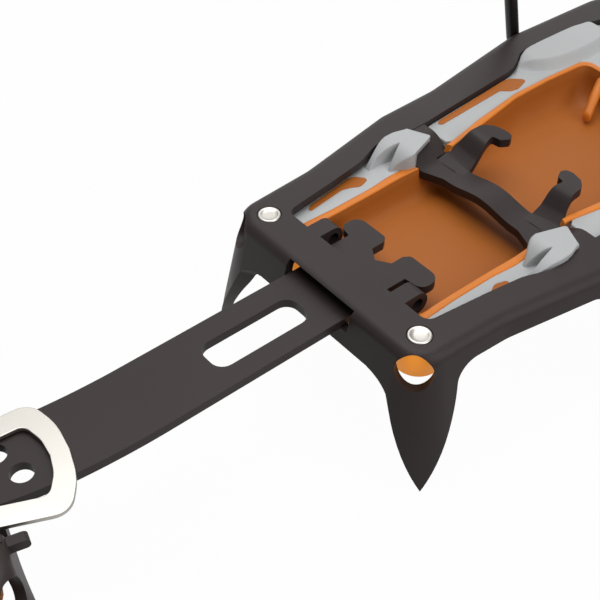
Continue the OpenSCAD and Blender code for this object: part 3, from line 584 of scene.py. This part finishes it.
@dataclass(frozen=True)
class Hooks:
    """The strap's two hooks, raised on steep necks.

    Attributes:
        depth: of the strap below the face under the boot.
        slope: where the strap starts to climb to a rail, from the middle, and where it ends.
        hook_box: corners of a box round the left hook, up to its neck.
        root_box: corners of a box round the rear edge of its root, which lies on the strap.
        neck_x: the strap's toe edge, where the neck starts.
        neck: length over which the neck climbs.
        bent: length of the quarter sine that the sheet was first bent to.
        reach: length over which the tip is drawn.
        draw: how far the tip is drawn towards the toe, outwards and up.
        sunk: height of the root's rear edge, inside the strap.
    """

    depth: float = 4.3
    slope: tuple[float, float] = (19, 28)
    hook_box: tuple[tuple[float, ...], tuple[float, ...]] = ((56.7, 10, -9), (74, 21.6, 1))
    root_box: tuple[tuple[float, ...], tuple[float, ...]] = ((53.35, 10.5, -9), (53.65, 22, -2))
    neck_x: float = 56.6
    neck: float = 8.5
    bent: float = 18.0
    reach: float = 10.0
    draw: tuple[float, float, float] = (-1.3, -1.6, 2.0)
    sunk: float = -4.4

    @staticmethod
    def inside(points: Array, box: tuple[tuple[float, ...], tuple[float, ...]]) -> Array:
        """Tell which points lie in a box."""
        low, high = box
        return np.all((points > low) & (points < high), axis=1)

    def lift(self, points: Array) -> Array:
        """Move the hooks' points, in millimetres.

        Along a hook, from the strap's toe edge, the height gains the difference between a
        smooth step over the neck and the sine that the sheet was first bent to, and a smooth
        step over the reach draws the tip. The root's rear edge goes down into the strap,
        whose height is a cosine across its slope.
        """
        x, y, z = points.T
        off = np.abs(y)
        left = np.stack([x, off, z], axis=1)
        along = np.where(self.inside(left, self.hook_box), x - self.neck_x, 0)
        bend = np.sin(np.pi / 2 * np.clip(along / self.bent, 0, 1))
        climb = self.depth * (smooth(along / self.neck) - bend)
        tip = smooth(along / self.reach)
        start, end = self.slope
        phase = np.pi * np.clip((off - start) / (end - start), 0, 1)
        strap = -self.depth / 2 * (1 + np.cos(phase))
        root = self.inside(left, self.root_box) & (z > strap)
        drop = np.where(root, self.sunk - z, 0)
        ahead, out, up = self.draw
        return points + np.stack([ahead * tip, out * tip * np.sign(y), climb + up * tip + drop],
                                 axis=1)


def turned(degrees: float) -> Array:
    """Return the matrix that turns points about Z."""
    a = math.radians(degrees)
    return np.array([[math.cos(a), -math.sin(a), 0], [math.sin(a), math.cos(a), 0], [0, 0, 1]])


NODE_FINISHES = {
    "front_frame": COATED_STEEL, "heel_frame": COATED_STEEL, "link_bar": COATED_STEEL,
    "welt_claw": COATED_STEEL, "toe_bail": BLUED_WIRE, "heel_bail": BLUED_WIRE,
    "front_tray": ORANGE_NYLON, "heel_tray": ORANGE_NYLON, "front_inlays": ORANGE_NYLON,
    "heel_inlays": ORANGE_NYLON, "height_knob": ORANGE_NYLON, "front_insert_left": GREY_NYLON,
    "front_insert_right": GREY_NYLON, "heel_inserts": GREY_NYLON, "heel_lever": BLACK_NYLON,
    "front_rivets": POLISHED_STEEL, "heel_rivets": POLISHED_STEEL, "claw_rivets": POLISHED_STEEL,
    "size_clip": POLISHED_STEEL, "size_pegs": POLISHED_STEEL, "clip_pin": POLISHED_STEEL,
    "height_nut": POLISHED_STEEL, "height_screw": POLISHED_STEEL}


@dataclass
class FrontTray:
    """The anti-snow trough of the front section, one moulded loop with a beaded rim.

    Attributes:
        floor: height of the floor's upper face.
        wall: thickness of the walls.
        rear_rim: height of the rim behind the strap.
        toe_rim: height of the rim before the strap.
        strap: where the rim dips to pass under the strap, from and to.
        strap_dip: depth of that dip.
        bar_dip: depth of the dip for the link bar's head.
        skirt: height of the rim's outer face.
        roll: height of the rim's rolled inner edge.
        count: points round each loop.
        outer: half of the rim's outer outline.
        inner: half of the rim's inner outline.
        foot: half of the floor's outline.
        centre: where the floor's loops draw together.
    """

    floor: float = -12.0
    wall: float = 1.5
    rear_rim: float = -3.45
    toe_rim: float = -1.35
    strap: tuple[float, float] = (46.2, 58.2)
    strap_dip: float = 3.3
    bar_dip: float = 4.4
    skirt: float = 1.7
    roll: float = 0.4
    count: int = 420
    centre: tuple[float, float] = (60.0, 0.0)
    outer: Array = field(default_factory=lambda: np.array([
        (-2.2, 0), (-2.2, 17), (1, 21.4), (6.6, 23), (17, 22.5), (30.5, 22.6), (37.4, 23.3),
        (49.6, 23), (54, 21.9), (59, 21.6), (73.1, 24.3), (90.6, 26.5), (104, 26.3), (118.1, 25.4),
        (120.2, 23), (119.9, 18.9), (119.9, 0)], dtype=float))
    inner: Array = field(default_factory=lambda: np.array([
        (0, 0), (0, 15), (2.6, 19.2), (8, 20.7), (17, 20.5), (30, 20.6), (40, 20.9), (49, 20.5),
        (54, 20), (61, 20.2), (71.5, 21.9), (89, 24.8), (102.6, 24.9), (116.6, 24), (118.3, 22.4),
        (118.2, 17), (118.2, 0)], dtype=float))
    foot: Array = field(default_factory=lambda: np.array([
        (9, 0), (9, 11), (12, 15.6), (40, 16), (60, 15.6), (85.5, 16.3), (105, 17), (110, 15.5),
        (112, 12), (112, 0)], dtype=float))

    def rim(self, line: Array) -> Array:
        """Height of the rim: the rear and the toe level, with dips for the strap and the bar."""
        x, y = line[:, 0], np.abs(line[:, 1])
        level = self.rear_rim + (self.toe_rim - self.rear_rim) * smooth((x - 50) / 6)
        strap = smooth((x - self.strap[0]) / 0.8) * smooth((self.strap[1] - x) / 0.8)
        bar = smooth((4 - x) / 1.0) * smooth((13.4 - y) / 0.8)
        return level - self.strap_dip * strap - self.bar_dip * bar

    @staticmethod
    def inward(angle: float) -> float:
        """Share of the way in at an angle: half of it straight, half on a superellipse."""
        return 0.5 * (1 - math.cos(angle) ** 0.4) + 0.5 * angle * 2 / math.pi

    @staticmethod
    def down(angle: float) -> float:
        """Share of the way down at an angle, on a superellipse."""
        return math.sin(angle) ** 0.6

    def level(self, line: Array, share: float, height: float) -> Array:
        """Draw a line towards the centre, to a share of its size, at one height."""
        middle = np.array(self.centre)
        return np.column_stack([middle + (line - middle) * share, np.full(len(line), height)])

    def build(self, shop: Workshop) -> None:
        """Weave the loops from the floor's underside, over the rim, to the floor's upper face.

        The wall goes from the rim's line to the foot's on a rounded square quarter, so it is
        nearly straight and meets the floor with a small fillet.
        """
        outer, inner, foot = (loop(both_sides(half), self.count, 0.8)
                              for half in (self.outer, self.inner, self.foot))
        out = outer - inner
        out /= np.linalg.norm(out, axis=1, keepdims=True)
        rim = self.rim(inner)
        phase = np.linspace(0, np.pi / 2, 13)
        under = self.floor - self.wall
        rows = [self.level(foot, share, under) for share in (0.25, 0.8)]
        for angle in phase[::-1]:
            plan = inner + out * self.wall + (foot - inner) * self.inward(angle)
            drop = (under + self.skirt - rim) * self.down(angle)
            rows.append(np.column_stack([plan, rim - self.skirt + drop]))
        # Share of the way from the inner to the outer outline, and height from the rim
        lip = ((1.0, -1.5), (1.0, -0.45), (0.9, -0.12), (0.7, 0.0), (0.35, 0.0), (0.12, -0.1),
               (0.0, -self.roll))
        for share, height in lip:
            rows.append(np.column_stack([inner + (outer - inner) * share, rim + height]))
        for angle in phase[1:]:
            plan = inner + (foot - inner) * self.inward(angle)
            drop = (self.floor + self.roll - rim) * self.down(angle)
            rows.append(np.column_stack([plan, rim - self.roll + drop]))
        rows += [self.level(foot, share, self.floor) for share in (0.97, 0.8, 0.25)]
        shell = Shell()
        shell.grid(np.stack(rows))
        shop.piece("front_trough", shell.mesh("front_trough"), ORANGE_NYLON, "front",
                   ("front_tray",))
        self.bead(shop, outer, inner, rim)
        self.ribs(shop)
        self.apron(shop)

    def bead(self, shop: Workshop, outer: Array, inner: Array, rim: Array) -> None:
        """Run a bead along the rim, its section a superellipse a little larger than the rim."""
        turn = np.linspace(0, 2 * np.pi, 17)
        share = 0.5 + 0.53 * np.sign(np.cos(turn)) * np.abs(np.cos(turn)) ** 0.7
        lift = -0.42 + 0.47 * np.sign(np.sin(turn)) * np.abs(np.sin(turn)) ** 0.7
        rows = [np.column_stack([inner + (outer - inner) * k, rim + z])
                for k, z in zip(share, lift)]
        shell = Shell()
        shell.grid(np.stack(rows[:-1] + rows[:1]), caps=False)
        # The bead gets the paler orange: a painted highlight where the rim catches light
        shop.piece("front_trough_rim", shell.mesh("front_trough_rim"), ORANGE_PAINTED_HIGHLIGHT, "front")

    def ribs(self, shop: Workshop) -> None:
        """Run a stiffening rib with rounded ends up the toe wall in each corner."""
        shell = Shell()
        for side in (1, -1):
            path = np.linspace((107.4, 12.2, -9.6), (118.0, 16.8, -4.4), 24) * (1, side, 1)
            path[:, 2] += 0.8 * np.sin(np.linspace(0, np.pi, 24))
            shell.grid(wire(path, np.array([0.0, 0.0, 1.0]), 1.6, 20))
        # The ribs get the paler orange too: a painted highlight
        shop.piece("front_trough_ribs", shell.mesh("front_trough_ribs"), ORANGE_PAINTED_HIGHLIGHT, "front")

    def apron(self, shop: Workshop) -> None:
        """Add the upright apron inside the rear fold, a strip with a chamfered lower edge."""
        shell = Shell()
        line = rounded_line(np.array([(4.5, -31.6), (-3.5, -31.4), (-3.5, -12.6)]), np.array([5.2]))
        section = np.array([(-0.9, -10.3), (-0.6, -10.6), (0.6, -10.6), (0.9, -10.3), (0.9, -3.0),
                            (-0.9, -3.0)])
        for side in (1, -1):
            path = line * (1, side)
            ahead = np.gradient(path, axis=0)
            ahead /= np.linalg.norm(ahead, axis=1, keepdims=True)
            across = np.stack([-ahead[:, 1], ahead[:, 0]], axis=1)
            plan = path[:, None, :] + across[:, None, :] * section[None, :, :1]
            height = np.broadcast_to(section[None, :, 1:], (len(path), len(section), 1))
            shell.grid(np.concatenate([plan, height], axis=2))
        # The apron glows by emission: a painted glow for light through the thin strip
        shop.piece("front_apron", shell.mesh("front_apron"), ORANGE_PAINTED_GLOW, "front")


@dataclass
class GreyPlate:
    """The grey moulding beside the trough: two plates, a clip over the strap and a toe pad.

    Attributes:
        node: of the frame that it stands for.
        side: 1 for the left one, -1 for the right.
        rear: height of the rear plate's face.
        toe: height of the toe plate's face.
        crown: height of the clip's top.
        pad: height of the toe pad's top.
        rear_plate: outline of the plate behind the strap.
        toe_plate: outline of the plate before the strap.
        web: outline of the bridge that joins them under the strap.
        flange: outline of the edge under the rail.
    """

    node: str
    side: int
    rear: float = -3.6
    toe: float = -1.7
    crown: float = 1.5
    pad: float = 1.15
    rear_plate: Array = field(default_factory=lambda: np.array([
        (4.9, 22.7), (17, 22.3), (30.5, 22.4), (37.4, 23.1), (45.6, 22.8), (45.6, 37.4), (30, 34.6),
        (20, 32.8), (4.9, 31)]))
    toe_plate: Array = field(default_factory=lambda: np.array([
        (58.6, 23), (60.4, 21.7), (73.1, 24.1), (90.6, 26.3), (104, 26.1), (117.8, 25.2),
        (120, 22.9), (119.8, 0.3), (153.6, 0.3), (153.6, 19.6), (141.8, 35), (128, 38.5), (106, 39),
        (98.5, 34), (59.8, 31.3), (58.6, 30)]))
    web: Array = field(default_factory=lambda: np.array([
        (45.5, 22.8), (66, 22.8), (66, 35), (45.5, 33)]))
    flange: Array = field(default_factory=lambda: np.array([
        (61.5, 25.2), (75, 26.5), (89, 28.8), (103, 28.9), (116, 28), (122, 24), (122, 14),
        (157.5, 14), (157.5, 22), (153.5, 31.5), (144, 40.5), (128, 42.6), (112, 43), (100, 41),
        (72, 37.5), (61.5, 36)]))

    def build(self, shop: Workshop) -> None:
        """Gather the plates, the clip and the pad in one mesh."""
        # Outline, height of the underside and height of the top
        slabs = ((self.rear_plate, self.rear - 1.8, self.rear),
                 (self.toe_plate, self.toe - 1.3, self.toe),
                 (self.web, self.rear - 1.3, -3.0),
                 (self.flange, -4.3, -2.55))
        grids = [self.slab(*plate) for plate in slabs] + [self.clip(), self.toe_pad()]
        shell = Shell()
        for grid in grids:
            shell.grid(grid * (1, self.side, 1))
        shop.piece(self.node + "_moulded", shell.mesh(self.node), GREY_NYLON, "front",
                   (self.node,))

    @staticmethod
    def slab(corners: Array, low: float, high: float) -> Array:
        """Stack an outline four times, the upper two drawn in for a rounded edge."""
        line = loop(corners, 360, 0.35)
        ahead = np.roll(line, -1, axis=0) - np.roll(line, 1, axis=0)
        ahead /= np.linalg.norm(ahead, axis=1, keepdims=True)
        area = np.sum(line[:, 0] * np.roll(line[:, 1], -1) - np.roll(line[:, 0], -1) * line[:, 1])
        inward = np.stack([-ahead[:, 1], ahead[:, 0]], axis=1) * np.sign(area)
        steps = ((0, low), (0, high - 0.35), (0.1, high - 0.1), (0.32, high))
        return np.stack([np.column_stack([line + inward * draw, np.full(len(line), z)])
                         for draw, z in steps])

    def clip(self) -> Array:
        """Fold a grid over the strap's root.

        Two legs climb from the plate by the root of a sine, the outer one from further
        back. Between them is a groove as wide as a wedge that closes towards the crown,
        with steep sides, whose floor stays on the plate and then climbs by a smooth step.
        """
        s = np.linspace(0, 1, 91)[:, None]
        u = np.linspace(0, 1, 73)[None, :]
        near = 24.3 - 2.7 * smooth(s / 0.85)
        far = 30.3 + 2.2 * smooth(s / 0.6) - 1.1 * smooth((s - 0.7) / 0.3)
        y = near + (far - near) * u
        start = 39.0 - 4.2 * smooth((u - 0.5) / 0.16)
        end = np.interp(u, [0, 0.03, 0.28, 0.34, 1], [45.7, 46.4, 53.8, 54.3, 51.4])
        x = start + (end - start) * s
        full = 46.0 - 1.3 * smooth((u - 0.45) / 0.2)
        climb = np.sin(np.pi / 2 * np.clip((x - start) / (full - start), 0, 1)) ** 0.85
        middle = 26.9 + 0.13 * (x - 38.5)
        width = 1.75 * np.clip((45.2 - x) / 6.5, 0, 1)
        groove = smooth((width - np.abs(y - middle)) / 0.7 + 0.5) * (x < 45.2)
        floor = smooth((x - 41.5) / 4.5) ** 1.5
        rise = climb + (np.minimum(floor, climb) - climb) * groove
        edge = np.minimum(np.minimum(u, 1 - u) * (far - near), (1 - s) * 14)
        round_off = 0.35 * (1 - np.sqrt(1 - (1 - np.clip(edge / 0.4, 0, 1)) ** 2))
        top = self.rear - 0.2 + (self.crown + 0.2 - self.rear) * rise - round_off
        low = np.minimum(np.where(x > 46.3, 0.12, self.rear - 0.6), top - 0.3)
        upper = np.stack([x, y, top], axis=-1)
        lower = np.stack([x, y, low], axis=-1)
        return np.concatenate([upper, lower[:, ::-1]], axis=1)

    def toe_pad(self) -> Array:
        """Raise a soft pad from the toe plate, upright at the rail and sloping to the trough.

        Its height is the product of a straight ramp with soft ends from the inner edge, the
        root of a sine from the rear, a smooth step from the toe, and a quarter round at the
        outer edge.
        """
        x = np.linspace(100.6, 138.3, 81)[:, None]
        u = np.linspace(0, 1, 61)[None, :]
        # Station along the pad, then its inner and its outer edge there
        stations, inside, outside = np.array([
            (100.6, 34.3, 35.1), (101.5, 32.9, 35.9), (104, 30.6, 37.4), (107, 28.5, 38.6),
            (109.3, 27.4, 38.9), (113, 26.3, 38.9), (116.4, 25.7, 38.8), (122, 25.2, 38.6),
            (127.5, 25.3, 38.3), (133, 26.3, 37.2), (137, 29, 35.6), (138.3, 31.5, 32.5)]).T
        near = np.interp(x, stations, inside)
        far = np.interp(x, stations, outside)
        y = near + (far - near) * u
        ramp = np.clip((y - near) / 2.9, 0, 1)
        inner = 0.55 * ramp + 0.45 * smooth(ramp)
        ends = np.sin(np.pi / 2 * np.clip((x - 100.4) / 5.5, 0, 1)) ** 0.9 * smooth((138.3 - x) / 5)
        outer = np.sqrt(1 - (1 - np.clip((far - y) / 0.8, 0, 1)) ** 2)
        top = self.toe - 0.02 + (self.pad - self.toe) * inner * ends * (0.5 + 0.5 * outer)
        upper = np.stack([x + 0 * y, y, top], axis=-1)
        lower = np.stack([x + 0 * y, y, np.full_like(y, self.toe - 0.6)], axis=-1)
        return np.concatenate([upper, lower[:, ::-1]], axis=1)


@dataclass
class Rivets:
    """Turned rivets: a dished head with a rolled edge, a shank and a formed head below.

    Attributes:
        name: of the node that they stand for.
        body: that carries them.
        places: middle of each head, on the plate's top face.
        grip: thickness that each one holds.
    """

    name: str
    body: str
    places: Array
    grip: Array

    def build(self, shop: Workshop) -> None:
        """Lathe one profile, of radius and height, for each place."""
        head = np.array([(0.02, -0.14), (1.2, -0.13), (1.75, -0.08), (2.15, 0.08), (2.45, 0.2),
                         (2.7, 0.21), (2.92, 0.1), (3.03, -0.1), (3.05, -0.58), (1.6, -0.6)])
        tail = np.array([(1.6, 0.0), (2.5, -0.02), (2.5, -0.6), (2.2, -0.95), (1.5, -1.0),
                         (0.02, -1.0)])
        shell = Shell()
        for place, grip in zip(self.places, self.grip):
            profile = np.concatenate([head, tail - (0, grip)])
            shell.grid(lathe(profile) + place)
        shop.piece(self.name + "_turned", shell.mesh(self.name), POLISHED_STEEL, self.body,
                   (self.name,))


@dataclass
class Bail:
    """A wire bail: pins turned inwards, straight legs and a bowed top.

    Attributes:
        node: that it stands for.
        body: that carries it.
        pivot: middle of its axis.
        turn: of its own frame about Z, in degrees.
        lean: of its plane towards the heel, in degrees.
        half_w: from the middle to a leg.
        leg: height of the upper corner's start above the pins.
        corner: radius of the upper corners.
        bow: how far the top's middle stands off the legs' plane.
        pin: length of a pin.
        bend: radius of the corner between a leg and its pin.
        radius: of the wire.
    """

    node: str
    body: str
    pivot: tuple[float, float, float]
    turn: float
    lean: float
    half_w: float
    leg: float
    corner: float
    bow: float = 0.0
    pin: float = 9.5
    bend: float = 3.0
    radius: float = 2.05

    def build(self, shop: Workshop) -> None:
        """Sweep the wire; the bow is a parabola across the top that fades down the legs."""
        w, top = self.half_w, self.leg + self.corner
        half = [(-w + self.pin, 0), (-w, 0), (-w, top)]
        corners = np.array(half + [(-y, z) for y, z in half[::-1]])
        line = rounded_line(corners, np.array([self.bend, self.corner, self.corner, self.bend]), 20)
        along = np.concatenate([[0], np.cumsum(np.linalg.norm(np.diff(line, axis=0), axis=1))])
        place = np.linspace(0, along[-1], 240)
        y, z = (np.interp(place, along, line[:, k]) for k in (0, 1))
        off = self.bow * (1 - (y / w) ** 2) * smooth((z / top - 0.3) / 0.7)
        path = np.stack([off, y, z], axis=1)
        grid = wire(path, np.array([1.0, 0.0, 0.0]), self.radius)
        c, s = math.cos(math.radians(self.lean)), math.sin(math.radians(self.lean))
        tilt = np.array([[c, 0, -s], [0, 1, 0], [s, 0, c]])
        shell = Shell()
        shell.grid(grid @ (turned(self.turn) @ tilt).T + np.array(self.pivot))
        shop.piece(self.node + "_wire", shell.mesh(self.node), BLUED_WIRE, self.body,
                   (self.node,))


class Heel:
    """The heel section's own frame: its origin on the bar's line, turned with the bar."""

    turn: float = -15.0
    origin: Array = np.array([-96.4347, 1.6244, 0.0])

    @classmethod
    def place(cls, points: Array) -> Array:
        """Turn and move points from the heel's frame to the whole part's."""
        return np.asarray(points, dtype=float) @ turned(cls.turn).T + cls.origin


def dress_nodes(shop: Workshop) -> None:
    """Give each node of the frame its finish."""
    for name, finish in NODE_FINISHES.items():
        node = shop.frame["nodes"][name]
        node.data.materials.clear()
        node.data.materials.append(shop.material(finish))


def main() -> None:
    """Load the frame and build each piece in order."""
    bpy.context.scene.view_settings.view_transform = "Standard"
    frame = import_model()
    Camera().build()
    Studio().build()
    shop = Workshop(frame)
    dress_nodes(shop)
    shop.softened("front_frame", COATED_STEEL, "front", 0.45, 2, Hooks().lift)
    shop.softened("link_bar", COATED_STEEL, "front", 0.45)
    shop.softened("heel_frame", COATED_STEEL, "heel", 0.45)
    shop.softened("size_clip", POLISHED_STEEL, "clip", 0.35)
    shop.softened("front_inlays", ORANGE_NYLON, "front", 0.15)
    shop.softened("heel_tray", ORANGE_NYLON, "heel", 0.3)
    shop.softened("heel_lever", BLACK_NYLON, "lever", 0.9, 3)
    shop.softened("welt_claw", COATED_STEEL, "lever", 0.4)
    shop.softened("height_knob", ORANGE_NYLON, "screw", 0.4)
    FrontTray().build(shop)
    GreyPlate("front_insert_left", 1).build(shop)
    GreyPlate("front_insert_right", -1).build(shop)
    front_places = np.array([(0, 28, 0), (0, -28, 0), (158.5, 30, 0), (158.5, -30, 0)])
    Rivets("front_rivets", "front", front_places, np.array([3.9, 3.9, 2.5, 2.5])).build(shop)
    heel_places = Heel.place([(-11.5, 24.5, 0), (-11.5, -24.5, 0), (-65.5, 23, 0), (-65.5, -23, 0)])
    Rivets("heel_rivets", "heel", heel_places, np.full(4, 2.5)).build(shop)
    Bail("toe_bail", "toe_loop", (118.5, 0, -8.5), turn=0, lean=13, half_w=52.6, leg=40, corner=22,
         bow=1.5).build(shop)
    pivot = tuple(Heel.place([(-49.5, 0, -8.5)])[0])
    Bail("heel_bail", "heel_loop", pivot, turn=Heel.turn, lean=26, half_w=36, leg=36,
         corner=20).build(shop)


if __name__ == "__main__":
    logging.basicConfig(level=logging.INFO)
    main()
